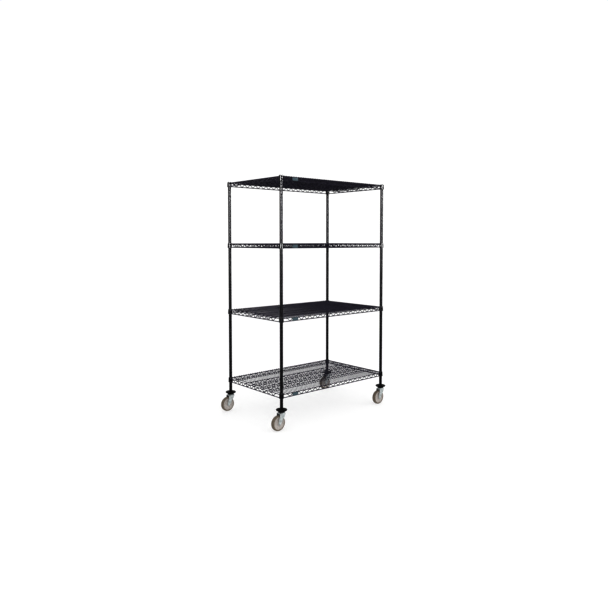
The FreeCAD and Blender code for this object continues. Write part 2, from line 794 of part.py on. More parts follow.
doc.recompute()
for obj in doc.Objects:
    if "Invalid" in obj.State or "Error" in obj.State:
        raise RuntimeError(f"{obj.Name} is {obj.State}")
for piece in NODES:
    if piece.Shape.isNull() or not piece.Shape.isValid() or not piece.Shape.Solids:
        raise RuntimeError(f"{piece.Label} has no valid solid")
for piece in NODES:
    piece.Shape.exportStep(f"parts/{piece.Label}.step")
    print(piece.Label, len(piece.Shape.Solids), round(piece.Shape.Volume))
print(len(NODES), "nodes")
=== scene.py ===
import math

import bmesh
import bpy
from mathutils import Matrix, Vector


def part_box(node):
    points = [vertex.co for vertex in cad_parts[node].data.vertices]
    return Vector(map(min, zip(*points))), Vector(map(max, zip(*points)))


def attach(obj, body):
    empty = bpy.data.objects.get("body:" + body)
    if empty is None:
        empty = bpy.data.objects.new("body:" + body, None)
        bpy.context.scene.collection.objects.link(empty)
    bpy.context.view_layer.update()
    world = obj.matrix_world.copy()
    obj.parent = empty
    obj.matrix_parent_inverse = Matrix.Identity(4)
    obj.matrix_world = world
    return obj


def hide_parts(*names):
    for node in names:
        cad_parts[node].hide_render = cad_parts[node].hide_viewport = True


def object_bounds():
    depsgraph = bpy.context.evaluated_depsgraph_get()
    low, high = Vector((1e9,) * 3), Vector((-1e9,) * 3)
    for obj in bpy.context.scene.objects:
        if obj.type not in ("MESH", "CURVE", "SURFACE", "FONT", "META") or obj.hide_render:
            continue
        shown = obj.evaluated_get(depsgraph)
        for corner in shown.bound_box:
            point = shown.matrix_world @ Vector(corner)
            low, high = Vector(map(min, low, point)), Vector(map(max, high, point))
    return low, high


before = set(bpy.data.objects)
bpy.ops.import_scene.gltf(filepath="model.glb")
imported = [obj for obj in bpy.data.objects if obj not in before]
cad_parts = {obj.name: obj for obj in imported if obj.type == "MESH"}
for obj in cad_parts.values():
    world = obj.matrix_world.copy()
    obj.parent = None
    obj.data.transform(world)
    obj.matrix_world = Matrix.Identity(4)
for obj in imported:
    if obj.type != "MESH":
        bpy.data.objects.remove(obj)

cad_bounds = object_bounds()
MM = 0.001
CORNERS = ("front_left", "front_right", "back_left", "back_right")
SHELVES = ("bottom", "lower", "upper", "top")

# Sizes in mm that the frame's boxes don't give
INCH = 25.4
POST_BORE = 11.1
GROOVES, GROOVE_FIRST, GROOVE_PITCH = 73, 15, INCH
EDGE_WIRE, INNER_WIRE, DECK_WIRE, STRUT = 3.2, 2.5, 2.15, 2.45  # radii
ZIGZAG_PITCH, ZIGZAG_RUN, ZIGZAG_FLAT = 60, 23.5, 3.25  # period, one leg, half the flat at a bend
LONG_PERIODS, END_PERIODS = 18, 10
DECK_WIRES, DECK_PITCH = 46, 25.2
COLLAR_BELOW = 22  # a collar's lower end under its shelf's reference height
TRAIL, BOSS = 35, 14  # swivel axis to axle, and the radius of the fork around the axle


def middle(node):
    low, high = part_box(node)
    return (low + high) / 2


# ---- meshes ------------------------------------------------------------------


def rounded(corners, steps=4, closed=True):
    """Points of an outline, in mm, whose corners (x, y, radius) are rounded with true arcs.
    A point is added just outside each arc, so that flat runs shade flat."""
    points = []
    for i, (x, y, radius) in enumerate(corners):
        here = Vector((x, y))
        if radius == 0 or (not closed and i in (0, len(corners) - 1)):
            points.append(here)
            continue
        before = Vector(corners[i - 1][:2]) - here
        after = Vector(corners[(i + 1) % len(corners)][:2]) - here
        half = before.angle(after) / 2
        reach = min(radius / math.tan(half), 0.46 * before.length, 0.46 * after.length)
        start = here + before.normalized() * reach
        end = here + after.normalized() * reach
        weight = math.sin(half)
        points.append(start + before.normalized() * min(0.25 * reach, 0.03 * before.length))
        for k in range(steps + 1):
            t = k / steps
            parts = ((1 - t) ** 2, 2 * t * (1 - t) * weight, t * t)
            points.append((start * parts[0] + here * parts[1] + end * parts[2]) / sum(parts))
        points.append(end + after.normalized() * min(0.25 * reach, 0.03 * after.length))
    return points


class Shape:
    """Vertices in mm and faces, with the material slot of each face."""

    def __init__(self):
        self.verts, self.faces, self.slots = [], [], []

    def face(self, corners, slot=0):
        self.faces.append(corners)
        self.slots.append(slot)

    def loft(self, rings, ring_closed=True, slot=0):
        """Joins loops of points. The last loop joins the first, or both ends get a cap."""
        base, n, count = len(self.verts), len(rings[0]), len(rings)
        for ring in rings:
            self.verts += [Vector(p) for p in ring]
        for i in range(count if ring_closed else count - 1):
            a, b = base + i * n, base + (i + 1) % count * n
            for j in range(n):
                k = (j + 1) % n
                self.face((a + j, a + k, b + k, b + j), slot)
        if not ring_closed:
            self.face(tuple(range(base + n - 1, base - 1, -1)), slot)
            self.face(tuple(range(base + (count - 1) * n, base + count * n)), slot)
        return self

    def turn(self, profile, sides=64, axis="z", start=0.0, sweep=360.0):
        """Turns (radius, height) points about an axis through the origin."""
        whole = sweep == 360.0
        rings = []
        for i in range(sides if whole else sides + 1):
            a = math.radians(start + sweep * i / sides)
            c, s = math.cos(a), math.sin(a)
            if axis == "z":
                rings.append([(r * c, r * s, h) for r, h in profile])
            else:
                rings.append([(r * c, h, r * s) for r, h in profile])
        return self.loft(rings, ring_closed=whole)

    def bar(self, path, radius, normal, sides=10):
        """A round bar with softened ends along a path in the plane with this normal."""
        path, normal = [Vector(p) for p in path], Vector(normal)
        tangents = []
        for i in range(len(path)):
            ahead, behind = path[min(i + 1, len(path) - 1)], path[max(i - 1, 0)]
            tangents.append((ahead - behind).normalized())
        sections = [
            (path[0], tangents[0], 0.7 * radius),
            (path[0] + tangents[0] * 0.3 * radius, tangents[0], radius),
            *((p, t, radius) for p, t in zip(path[1:-1], tangents[1:-1])),
            (path[-1] - tangents[-1] * 0.3 * radius, tangents[-1], radius),
            (path[-1], tangents[-1], 0.7 * radius),
        ]
        rings = []
        for point, tangent, size in sections:
            side = tangent.cross(normal)
            ring = []
            for i in range(sides):
                a = 2 * math.pi * i / sides
                ring.append(point + (side * math.cos(a) + normal * math.sin(a)) * size)
            rings.append(ring)
        return self.loft(rings, ring_closed=False)

    def bead(self, centre, size):
        """A small weld bead."""
        rings = []
        for lift in (-0.85, -0.35, 0.35, 0.85):
            wide = math.sqrt(1 - lift * lift)
            ring = []
            for i in range(6):
                a = math.pi * i / 3
                ring.append(
                    (
                        centre[0] + size[0] * wide * math.cos(a),
                        centre[1] + size[1] * wide * math.sin(a),
                        centre[2] + size[2] * lift,
                    )
                )
            rings.append(ring)
        return self.loft(rings, ring_closed=False)

    def add(self, other, offset):
        """Takes in a copy of another shape, moved by the offset."""
        base = len(self.verts)
        self.verts += [v + Vector(offset) for v in other.verts]
        self.faces += [tuple(base + i for i in f) for f in other.faces]
        self.slots += other.slots

    def at(self, *offsets):
        """The same shape at each offset."""
        out = Shape()
        for offset in offsets:
            out.add(self, offset)
        return out

    def mesh(self, name, *materials):
        bm = bmesh.new()
        verts = [bm.verts.new(v * MM) for v in self.verts]
        for corners, slot in zip(self.faces, self.slots):
            bm.faces.new([verts[i] for i in corners]).material_index = slot
        bmesh.ops.remove_doubles(bm, verts=bm.verts, dist=2e-7)
        bmesh.ops.recalc_face_normals(bm, faces=bm.faces)
        mesh = bpy.data.meshes.new(name)
        bm.to_mesh(mesh)
        bm.free()
        mesh.shade_smooth()
        mesh.set_sharp_from_angle(angle=math.radians(38))
        for material in materials:
            mesh.materials.append(material)
        return mesh


def piece(name, mesh, body, nodes, place):
    """A finished piece that rides on its body and stands for its CAD nodes."""
    obj = bpy.data.objects.new(name, mesh)
    bpy.context.scene.collection.objects.link(obj)
    obj.location = place
    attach(obj, body)
    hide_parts(*nodes)
    return obj


# ---- materials ---------------------------------------------------------------


class Finish:
    """A procedural surface built step by step on one Principled shader."""

    def __init__(self, name, stretch=(1, 1, 1), **sockets):
        self.material = bpy.data.materials.new(name)
        self.material.use_nodes = True
        self.tree = self.material.node_tree
        self.shader = self.tree.nodes["Principled BSDF"]
        for socket, amount in sockets.items():
            self.shader.inputs[socket.replace("_", " ")].default_value = amount
        self.where = self.tree.nodes.new("ShaderNodeTexCoord").outputs["Object"]
        scaled = self.tree.nodes.new("ShaderNodeMapping")
        scaled.inputs["Scale"].default_value = stretch
        self.tree.links.new(self.where, scaled.inputs["Vector"])
        self.scaled = scaled.outputs["Vector"]

    def node(self, kind, inputs=(), **settings):
        node = self.tree.nodes.new(kind)
        for key, setting in settings.items():
            setattr(node, key, setting)
        for key, source in dict(inputs).items():
            if isinstance(source, bpy.types.NodeSocket):
                self.tree.links.new(source, node.inputs[key])
            else:
                node.inputs[key].default_value = source
        return node

    def noise(self, scale, detail=3.0, rough=0.5, vector=None):
        made = self.node(
            "ShaderNodeTexNoise",
            {
                "Vector": vector or self.scaled,
                "Scale": scale,
                "Detail": detail,
                "Roughness": rough,
            },
        )
        return made.outputs["Fac"]

    def between(self, source, low, high, out_low=0.0, out_high=1.0):
        made = self.node(
            "ShaderNodeMapRange",
            {
                "Value": source,
                "From Min": low,
                "From Max": high,
                "To Min": out_low,
                "To Max": out_high,
            },
            interpolation_type="SMOOTHSTEP",
        )
        return made.outputs["Result"]

    def math(self, operation, a, b=0.0):
        made = self.node("ShaderNodeMath", {0: a, 1: b}, operation=operation)
        return made.outputs[0]

    def blend(self, amount, first, second):
        made = self.node("ShaderNodeMix", {"Factor": amount}, data_type="RGBA")
        for key, source in ((6, first), (7, second)):
            if isinstance(source, bpy.types.NodeSocket):
                self.tree.links.new(source, made.inputs[key])
            else:
                made.inputs[key].default_value = (*source, 1.0)
        return made.outputs[2]

    def from_axis(self, flat):
        """Distance from the axis along the flattened direction, in metres."""
        keep = tuple(0.0 if i == flat else 1.0 for i in range(3))
        made = self.node("ShaderNodeVectorMath", {0: self.where, 1: keep}, operation="MULTIPLY")
        length = self.node("ShaderNodeVectorMath", {0: made.outputs[0]}, operation="LENGTH")
        return length.outputs["Value"]

    def colour(self, source):
        self.tree.links.new(source, self.shader.inputs["Base Color"])

    def roughness(self, source):
        self.tree.links.new(source, self.shader.inputs["Roughness"])

    def relief(self, source, depth):
        made = self.node("ShaderNodeBump", {"Height": source, "Distance": depth})
        self.tree.links.new(made.outputs["Normal"], self.shader.inputs["Normal"])


def epoxy(name, shine, smooth, lift, stretch=(1, 1, 1)):
    """Black epoxy powder coat: orange peel, uneven gloss and a little settled dust.
    Smooth is the mean roughness, and lift multiplies the darkest tones."""
    f = Finish(name, stretch, Specular_IOR_Level=shine)
    tone = f.between(f.noise(7.0, 4.0), 0.3, 0.7)
    low, high, grey = (0.0016, 0.0014, 0.0024), (0.0032, 0.0029, 0.0048), (0.014, 0.013, 0.018)
    body = f.blend(tone, [lift * c for c in low], [lift * c for c in high])
    dust = f.between(f.noise(120.0, 8.0, 0.65), 0.58, 0.74, 0.0, 0.25)
    # Most of the dust lies on faces that look up.
    normal = f.node("ShaderNodeNewGeometry").outputs["Normal"]
    upward = f.node("ShaderNodeSeparateXYZ", {0: normal}).outputs["Z"]
    settled = f.between(upward, 0.2, 0.9, 0.0, 0.9)
    patchy = f.between(f.noise(60.0, 6.0, 0.7), 0.35, 0.65, 0.3, 1.0)
    dust = f.math("MAXIMUM", dust, f.math("MULTIPLY", settled, patchy))
    f.colour(f.blend(dust, body, [lift * c for c in grey]))
    gloss = f.between(f.noise(28.0, 5.0, 0.6), 0.3, 0.7, smooth - 0.05, smooth + 0.05)
    f.roughness(f.math("ADD", gloss, f.math("MULTIPLY", dust, 0.4)))
    peel = f.noise(420.0, 2.0)
    fine = f.math("MULTIPLY", f.noise(1700.0, 2.0), 0.35)
    f.relief(f.math("ADD", peel, fine), 0.00012)
    return f.material


def moulded_black(name):
    """Black moulded plastic with a fine spark-eroded grain and rubbed spots."""
    f = Finish(name, Specular_IOR_Level=0.25)
    body = f.blend(f.noise(14.0, 3.0), (0.0045, 0.0045, 0.0055), (0.0100, 0.0095, 0.0110))
    rubbed = f.between(f.noise(85.0, 6.0, 0.7), 0.60, 0.72, 0.0, 0.5)
    f.colour(f.blend(rubbed, body, (0.030, 0.029, 0.031)))
    f.roughness(f.between(f.noise(60.0, 4.0), 0.3, 0.7, 0.38, 0.55))
    grain = f.node("ShaderNodeTexVoronoi", {"Vector": f.scaled, "Scale": 1500.0})
    f.relief(grain.outputs["Distance"], 0.00007)
    return f.material


def bumper_rubber():
    """Soft black rubber: matt, with a paler scuffed rim and a bloom in patches."""
    f = Finish("black_rubber", Specular_IOR_Level=0.12, Sheen_Weight=0.04, Sheen_Roughness=0.45)
    body = f.blend(f.noise(40.0, 4.0), (0.0024, 0.0022, 0.0030), (0.0060, 0.0055, 0.0066))
    rim = f.between(f.from_axis(2), 0.0385, 0.0445)
    scuffs = f.between(f.noise(180.0, 8.0, 0.7), 0.50, 0.66)
    amount = f.math("MULTIPLY", f.math("MULTIPLY", rim, scuffs), 0.7)
    f.colour(f.blend(amount, body, (0.030, 0.027, 0.028)))
    f.roughness(f.between(f.noise(90.0, 5.0), 0.3, 0.7, 0.48, 0.66))
    f.relief(f.noise(900.0, 4.0, 0.6), 0.00010)
    return f.material


def zinc(name, bright, painted_shade=None):
    """Zinc-plated steel: cloudy patches, a faint crystal spangle and rolling marks.
    A painted shade inside a fork, if asked for, is given as (inside width, height where it starts,
    height where it is darkest)."""
    f = Finish(name, Metallic=0.88, Specular_IOR_Level=0.5)
    tones = [[bright * c for c in tone] for tone in ((0.40, 0.43, 0.43), (0.68, 0.71, 0.71))]
    cloud = f.between(f.noise(38.0, 5.0, 0.6), 0.32, 0.68)
    body = f.blend(cloud, *tones)
    cells = f.node("ShaderNodeTexVoronoi", {"Vector": f.scaled, "Scale": 330.0})
    spangle = f.math("MULTIPLY", cells.outputs["Color"], 0.22)
    body = f.blend(spangle, body, [bright * c for c in (0.82, 0.85, 0.86)])
    grime = f.between(f.noise(75.0, 8.0, 0.7), 0.60, 0.78, 0.0, 0.55)
    body = f.blend(grime, body, (0.190, 0.170, 0.142))
    # Painted shade: the faces inside the fork grow darker upward from the start height, darkest
    # just under the crown, nearly black there.
    if painted_shade:
        wide, start, thick = painted_shade
        spot = f.node("ShaderNodeSeparateXYZ", {0: f.where}).outputs
        inside = f.between(f.math("ABSOLUTE", spot["Y"]), wide, wide - 0.0006)
        low = f.between(spot["Z"], start, thick)
        under = f.between(spot["Z"], thick + 0.0022, thick + 0.0012)
        amount = f.math("MULTIPLY", f.math("MULTIPLY", inside, low), under)
        body = f.blend(f.math("MULTIPLY", amount, 0.93), body, (0.022, 0.020, 0.018))
    f.colour(body)
    f.roughness(f.between(f.noise(120.0, 6.0, 0.65), 0.3, 0.7, 0.28, 0.50))
    rolled = f.node("ShaderNodeMapping", {"Vector": f.where, "Scale": (6, 1, 0.25)}).outputs[0]
    f.relief(f.noise(240.0, 3.0, 0.5, rolled), 0.00006)
    return f.material


def tread_rubber():
    """Brownish grey cushion tread with dust pressed into the running surface."""
    f = Finish("grey_tread", Specular_IOR_Level=0.3)
    body = f.blend(f.noise(34.0, 5.0), (0.162, 0.136, 0.109), (0.268, 0.234, 0.195))
    out = f.between(f.from_axis(1), 0.0550, 0.0609)
    scuffs = f.between(f.noise(150.0, 9.0, 0.7), 0.42, 0.66)
    worn = f.math("MULTIPLY", f.math("MULTIPLY", out, scuffs), 0.75)
    f.colour(f.blend(worn, body, (0.090, 0.076, 0.060)))
    f.roughness(f.between(f.noise(110.0, 6.0), 0.3, 0.7, 0.50, 0.70))
    f.relief(f.noise(700.0, 5.0, 0.65), 0.00016)
    return f.material


def wheel_plastic():
    """Light grey moulded core, a little yellowed, with road dirt near the rim and hub."""
    f = Finish("grey_core", Specular_IOR_Level=0.4)
    body = f.blend(f.noise(26.0, 4.0), (0.485, 0.457, 0.438), (0.605, 0.575, 0.553))
    rim = f.between(f.from_axis(1), 0.0400, 0.0480)
    hub = f.between(f.from_axis(1), 0.0180, 0.0140)
    patches = f.between(f.noise(95.0, 8.0, 0.7), 0.36, 0.70)
    dirt = f.math("MULTIPLY", f.math("ADD", f.math("MAXIMUM", rim, hub), 0.25), patches)
    f.colour(f.blend(f.math("MULTIPLY", dirt, 0.6), body, (0.200, 0.170, 0.145)))
    f.roughness(f.between(f.noise(80.0, 4.0), 0.3, 0.7, 0.36, 0.52))
    f.relief(f.noise(1100.0, 3.0), 0.00007)
    return f.material


def plate_plastic(name, low, high, rough):
    """Glossy slate plastic of the label plate, finely brushed by handling."""
    f = Finish(name, (1, 1, 8), Specular_IOR_Level=0.45, Coat_Weight=0.2, Coat_Roughness=0.15)
    f.colour(f.blend(f.noise(60.0, 5.0), low, high))
    f.roughness(f.between(f.noise(150.0, 6.0, 0.7), 0.3, 0.7, rough - 0.06, rough + 0.10))
    f.relief(f.noise(800.0, 3.0), 0.00003)
    return f.material


def studio_floor():
    """A white light table: half of its brightness is its own, so shadows stay faint."""
    f = Finish(
        "pale_floor",
        Specular_IOR_Level=0.1,
        Emission_Color=(1, 1, 1, 1),
        Emission_Strength=0.6,
    )
    f.colour(f.blend(f.noise(1.3, 4.0), (0.375, 0.375, 0.375), (0.395, 0.395, 0.395)))
    f.roughness(f.between(f.noise(9.0, 4.0), 0.3, 0.7, 0.75, 0.85))
    return f.material


WIRE = epoxy("black_epoxy_wire", shine=0.10, smooth=0.36, lift=8.5)
TUBE = epoxy("black_epoxy_tube", shine=0.068, smooth=0.31, lift=1.5, stretch=(1, 1, 0.35))
COLLAR = epoxy("black_epoxy_collar", shine=0.09, smooth=0.24, lift=1.5)
PLASTIC = moulded_black("black_plastic")
RUBBER = bumper_rubber()
# Painted shade darkens the inside of a fork under its crown, nearly to black.
FORK_ZINC = zinc("zinc_fork", bright=0.95, painted_shade=(0.0205, 0.045, 0.088))
BRIGHT = zinc("zinc_hardware", bright=1.12)
TREAD = tread_rubber()
CORE = wheel_plastic()
PLATE = plate_plastic("slate_plastic", (0.016, 0.023, 0.028), (0.027, 0.037, 0.043), 0.34)
BLANK = plate_plastic("slate_insert", (0.070, 0.108, 0.128), (0.102, 0.146, 0.170), 0.42)

# ---- posts and caps ----------------------------------------------------------

axis = {corner: middle(f"post_{corner}") for corner in CORNERS}
post_low, post_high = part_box("post_front_left")
post_radius = (post_high.x - post_low.x) / 2 / MM
post_length = (post_high.z - post_low.z) / MM

# Outer wall with a soft-edged groove every inch, then back down the bore
wall = [(post_radius - 0.4, 0), (post_radius, 0.4)]
for count in range(GROOVES):
    level = GROOVE_FIRST + GROOVE_PITCH * count
    wall += [
        (post_radius - deep, level + off)
        for deep, off in (
            (0, -2.6),
            (0, -2.0),
            (0.12, -1.6),
            (0.75, -1.0),
            (1.0, -0.5),
            (1.0, 0.5),
            (0.75, 1.0),
            (0.12, 1.6),
            (0, 2.0),
            (0, 2.6),
        )
    ]
wall += [(post_radius, post_length - 0.4), (post_radius - 0.4, post_length)]
wall += [(POST_BORE, post_length), (POST_BORE, 0)]
post_mesh = Shape().turn(wall, 40).mesh("post", TUBE)
for corner in CORNERS:
    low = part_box(f"post_{corner}")[0]
    place = (axis[corner].x, axis[corner].y, low.z)
    piece(f"tube_{corner}", post_mesh, "rack", [f"post_{corner}"], place)


def round_corners(shape, node):
    """A shape repeated at the four posts, from the lower end of its CAD node."""
    return shape.at(*((axis[c].x / MM, axis[c].y / MM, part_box(node)[0].z / MM) for c in CORNERS))


# Outlines that are turned list their corners as (radius, height, rounding).
cap = rounded(
    [
        (0, 0, 0),
        (11, 0, 0.8),
        (11, 15, 0),
        (12.9, 15, 0.2),
        (12.9, 16.55, 0.7),
        (9, 16.95, 1.5),
        (0, 17, 0),
    ]
)
caps = round_corners(Shape().turn(cap, 56), "post_caps").mesh("caps", PLASTIC)
piece("caps", caps, "rack", ["post_caps"], (0, 0, 0))

# ---- shelves -----------------------------------------------------------------


def truss(half, spread, top, drop, wire, periods, along, extra):
    """Two wires with one bent zigzag wire between them, at each of the spread's offsets.
    The wires run past half the length by the extra."""
    x = Vector((1, 0, 0)) if along == "x" else Vector((0, 1, 0))
    across = Vector((0, 1, 0)) if along == "x" else Vector((1, 0, 0))
    up = Vector((0, 0, 1))
    shape = Shape()
    # The zigzag's bends are pressed 0.8 mm into the wires above and below them.
    sink = wire + STRUT - 0.8
    high, low = top - sink, top - drop + sink
    slide = ZIGZAG_RUN / drop * sink
    turn = ZIGZAG_PITCH / 2
    bend, tail, bead = 8, 5, (2.6, 2.6, 1.3)
    for offset in spread:

        def at(s, z):
            return x * s + across * offset + up * z

        for level in (top, top - drop):
            shape.bar([at(-half - extra, level), at(half + extra, level)], wire, up, 14)
        first = -turn * periods
        corners = [(first - tail, high, 0)]
        for i in range(periods):
            start = first + ZIGZAG_PITCH * i
            corners += [
                (start + ZIGZAG_FLAT + slide, high, bend),
                (start + turn - ZIGZAG_FLAT - slide, low, bend),
                (start + turn + ZIGZAG_FLAT + slide, low, bend),
                (start + ZIGZAG_PITCH - ZIGZAG_FLAT - slide, high, bend),
            ]
            shape.bead(at(start + turn, top - drop + wire), bead)
            shape.bead(at(start, top - wire), bead)
        shape.bead(at(-first, top - wire), bead)
        corners.append((tail - first, high, 0))
        path = [at(p.x, p.y) for p in rounded(corners, 3, closed=False)]
        shape.bar(path, STRUT, across, 8)
    return shape


collar_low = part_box("bottom_shelf_collars")[0].z / MM
reference = collar_low + COLLAR_BELOW
deck_low, deck_high = (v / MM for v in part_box("bottom_shelf_deck"))
front_low, front_high = (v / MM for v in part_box("bottom_shelf_front_truss"))
ends_low, ends_high = (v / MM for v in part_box("bottom_shelf_end_trusses"))
inner_low, inner_high = (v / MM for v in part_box("bottom_shelf_inner_trusses"))
rack_x = (deck_low.x + deck_high.x) / 2

# All four shelves are alike, so each mesh is made once about its shelf's middle.
edge_top = front_high.z - EDGE_WIRE - reference
edge_drop = front_high.z - front_low.z - 2 * EDGE_WIRE
edge = (edge_top, edge_drop, EDGE_WIRE)
into_collar, into_end_wire = 3.4, 0.8
long_half = (front_high.x - front_low.x) / 2
long_truss = truss(long_half, [0], *edge, LONG_PERIODS, "x", into_collar)
long_mesh = long_truss.mesh("long_truss", WIRE)
end_half = (ends_high.y - ends_low.y) / 2
end_x = (ends_high.x - ends_low.x) / 2 - EDGE_WIRE
end_trusses = truss(end_half, [-end_x, end_x], *edge, END_PERIODS, "y", into_collar)
end_mesh = end_trusses.mesh("end_trusses", WIRE)
inner_half = (inner_high.x - inner_low.x) / 2
inner_y = (inner_high.y - inner_low.y) / 2 - INNER_WIRE
inner_top = inner_high.z - INNER_WIRE - reference
inner_drop = inner_high.z - inner_low.z - 2 * INNER_WIRE
inner = (inner_top, inner_drop, INNER_WIRE)
inner_trusses = truss(
    inner_half, [-inner_y, 0, inner_y], *inner, LONG_PERIODS, "x", into_end_wire
)
inner_mesh = inner_trusses.mesh("inner_trusses", WIRE)

deck = Shape()
reach = (deck_high.y - deck_low.y) / 2
deck_level = deck_high.z - DECK_WIRE - reference - 0.25
tie_y, tie_level = 241.2, 9.35
tie_half = inner_half + into_end_wire
for y in (-tie_y, tie_y):
    ends = [(-tie_half, y, tie_level), (tie_half, y, tie_level)]
    deck.bar(ends, INNER_WIRE, (0, 0, 1), 12)
welds = (-reach + 3, -tie_y, -inner_y, 0, inner_y, tie_y, reach - 3)
weld_level, weld = deck_level - 1.9, (2.5, 2.5, 1.0)
for i in range(DECK_WIRES):
    x = DECK_PITCH * (i - (DECK_WIRES - 1) / 2)
    # A welded wire is never quite true: each leans by a few tenths of a millimetre.
    lean = 0.35 * math.sin(i * 12.9898), 0.35 * math.sin(i * 78.233)
    ends = [(x + lean[0], -reach, deck_level), (x + lean[1], reach, deck_level)]
    deck.bar(ends, DECK_WIRE, (0, 0, 1), 10)
    for y in welds:
        share = (y / reach + 1) / 2
        where = x + lean[0] + (lean[1] - lean[0]) * share
        deck.bead((where, y, weld_level), weld)
# A shorter wire fits between the collars at each end.
short_x, short_reach = 584.3, 340
for x in (-short_x, short_x):
    ends = [(x, -short_reach, deck_level), (x, short_reach, deck_level)]
    deck.bar(ends, DECK_WIRE, (0, 0, 1), 10)
    for y in welds[1:-1]:
        deck.bead((x, y, weld_level), weld)
deck_mesh = deck.mesh("deck", WIRE)

# Heights from the shelf's reference
collar = rounded(
    [
        (16.6, -COLLAR_BELOW, 0.4),
        (19.25, -COLLAR_BELOW, 0.9),
        (18.95, -18.5, 2.0),
        (17.3, 16, 0.8),
        (15.6, 16, 0.4),
    ]
)
sleeve = rounded(
    [
        (12.8, -25, 0.3),
        (16.4, -25, 0.8),
        (16.55, -22.4, 0.3),
        (15.45, 16.2, 0.3),
        (15.3, 17.3, 0.5),
        (12.8, 17.3, 0.3),
    ],
    3,
)
half_sleeve = Shape()
for start in (-88, 92):
    half_sleeve.turn(sleeve, 28, start=start, sweep=176)
around = [(axis[c].x / MM - rack_x, axis[c].y / MM, 0) for c in CORNERS]
collar_mesh = Shape().turn(collar, 56).at(*around).mesh("collars", COLLAR)
sleeve_mesh = half_sleeve.at(*around).mesh("sleeves", PLASTIC)
for shelf in SHELVES:
    name = f"{shelf}_shelf"
    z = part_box(f"{name}_collars")[0].z + COLLAR_BELOW * MM
    x = rack_x * MM
    for suffix, mesh, slot in (
        ("deck", deck_mesh, "black_epoxy"),
        ("end_trusses", end_mesh, "black_epoxy"),
        ("inner_trusses", inner_mesh, "black_epoxy"),
        ("collars", collar_mesh, "black_epoxy"),
        ("sleeves", sleeve_mesh, "black_plastic"),
    ):
        node = f"{name}_{suffix}"
        piece(f"{shelf}_{suffix}", mesh, "rack", [node], (x, 0, z))
    for side in ("front", "back"):
        node = f"{name}_{side}_truss"
        place = (x, middle(node).y, z)
        piece(f"{shelf}_{side}_truss", long_mesh, "rack", [node], place)

# ---- label plates ------------------------------------------------------------


def plate_outline(inset):
    half_w, half_h, corner = 30.5 - inset, 14.5 - inset, max(5 - inset, 0.6)
    return rounded(
        [
            (-half_w, -half_h, corner),
            (half_w, -half_h, corner),
            (half_w, half_h, corner),
            (-half_w, half_h, corner),
        ],
        5,
    )


plate_low, plate_high = (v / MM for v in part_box("label_plates"))
thick = plate_high.y - plate_low.y
blank = Shape()
# The back, the rounded front edge, then a raised border around a sunk blank panel
layers = [(0.3, 0), (0, -0.3), (0, 0.7 - thick), (0.2, 0.2 - thick), (0.7, -thick), (2.0, -thick)]
layers += [(2.3, 0.15 - thick), (2.7, 0.5 - thick)]
blank.loft(
    [[(p.x, y, p.y) for p in plate_outline(inset)] for inset, y in layers], ring_closed=False
)
blank.slots[-1] = 1
panel = [(p.x, 0.5 - thick, p.y) for p in plate_outline(5.2)]
raised = [(p.x, 0.28 - thick, p.y) for p in plate_outline(5.5)]
blank.loft([panel, raised], ring_closed=False, slot=1)
plate_x = (plate_low.x + plate_high.x) / 2
plate_below = 5  # the plate's middle under its shelf's reference
levels = []
for shelf in SHELVES:
    levels.append(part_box(f"{shelf}_shelf_collars")[0].z / MM + COLLAR_BELOW - plate_below)
plates = blank.at(*((plate_x, plate_high.y, z) for z in levels))
piece(
    "plates",
    plates.mesh("plates", PLATE, BLANK),
    "rack",
    ["label_plates"],
    (0, 0, 0),
)

# ---- bumpers and swivels -----------------------------------------------------

# Heights from the lower end: base, rim, hub, then the socket for the post
bumper = rounded(
    [
        (6, 0, 0),
        (26.8, 0, 1.5),
        (31, 11.5, 5),
        (44.45, 12.2, 5),
        (44.45, 23, 5),
        (24, 23, 5),
        (16.6, 30, 1.0),
        (12.9, 30, 0.3),
        (12.9, 11.4, 0),
        (6, 11.4, 0),
    ],
    6,
)
bumper_mesh = Shape().turn(bumper, 80).mesh("bumper", RUBBER)

# Heights from the lower side of the rivet head: rivet, neck, raceway, stem, insert
stem = rounded(
    [
        (0, 0, 0),
        (6.5, 0, 1.5),
        (9, 2.2, 1.5),
        (9, 5.7, 0.3),
        (6, 5.7, 0),
        (6, 11.3, 0),
        (21.5, 11.3, 0.6),
        (24, 12.1, 0.8),
        (24, 14.2, 1.2),
        (20, 15.3, 0.8),
        (5.6, 15.3, 0),
        (5.6, 27.1, 0),
        (10.9, 27.1, 0.5),
        (10.9, 86.5, 0.5),
        (5.6, 86.5, 0),
        (5.6, 108.5, 0.8),
        (0, 108.5, 0),
    ]
)
stems = round_corners(Shape().turn(stem, 56), "caster_stems").mesh("stems", BRIGHT)
piece("stems", stems, "rack", ["caster_stems"], (0, 0, 0))

# ---- forks -------------------------------------------------------------------


def on_line(z, points):
    """x at height z on a chain of (x, z) points that runs downwards."""
    for (x0, z0), (x1, z1) in zip(points, points[1:]):
        if z0 >= z >= z1:
            return x0 + (x1 - x0) * (z0 - z) / (z0 - z1)
    return points[-1][0]


axle_level = middle("tyre_front_left").z / MM
fork_low, crown = (v.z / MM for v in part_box("fork_front_left"))
# The two edges of a leg, seen from the side, from the crown down to the boss
LEADING = (
    (24, crown),
    (23.2, crown - 8.5),
    (21.5, crown - 16),
    (17, crown - 23),
    (10, axle_level + 45),
    (1.5, axle_level + 32.5),
    (-8, axle_level + 17),
    (-17.5, axle_level + 2.5),
    (-21.5, axle_level - 5),
)
TRAILING = (
    (-31, crown),
    (-31, crown - 16),
    (-32.6, crown - 23.5),
    (-37.5, axle_level + 39),
    (-41.6, axle_level + 27),
    (-45.4, axle_level + 14.5),
    (-48.3, axle_level + 4),
)


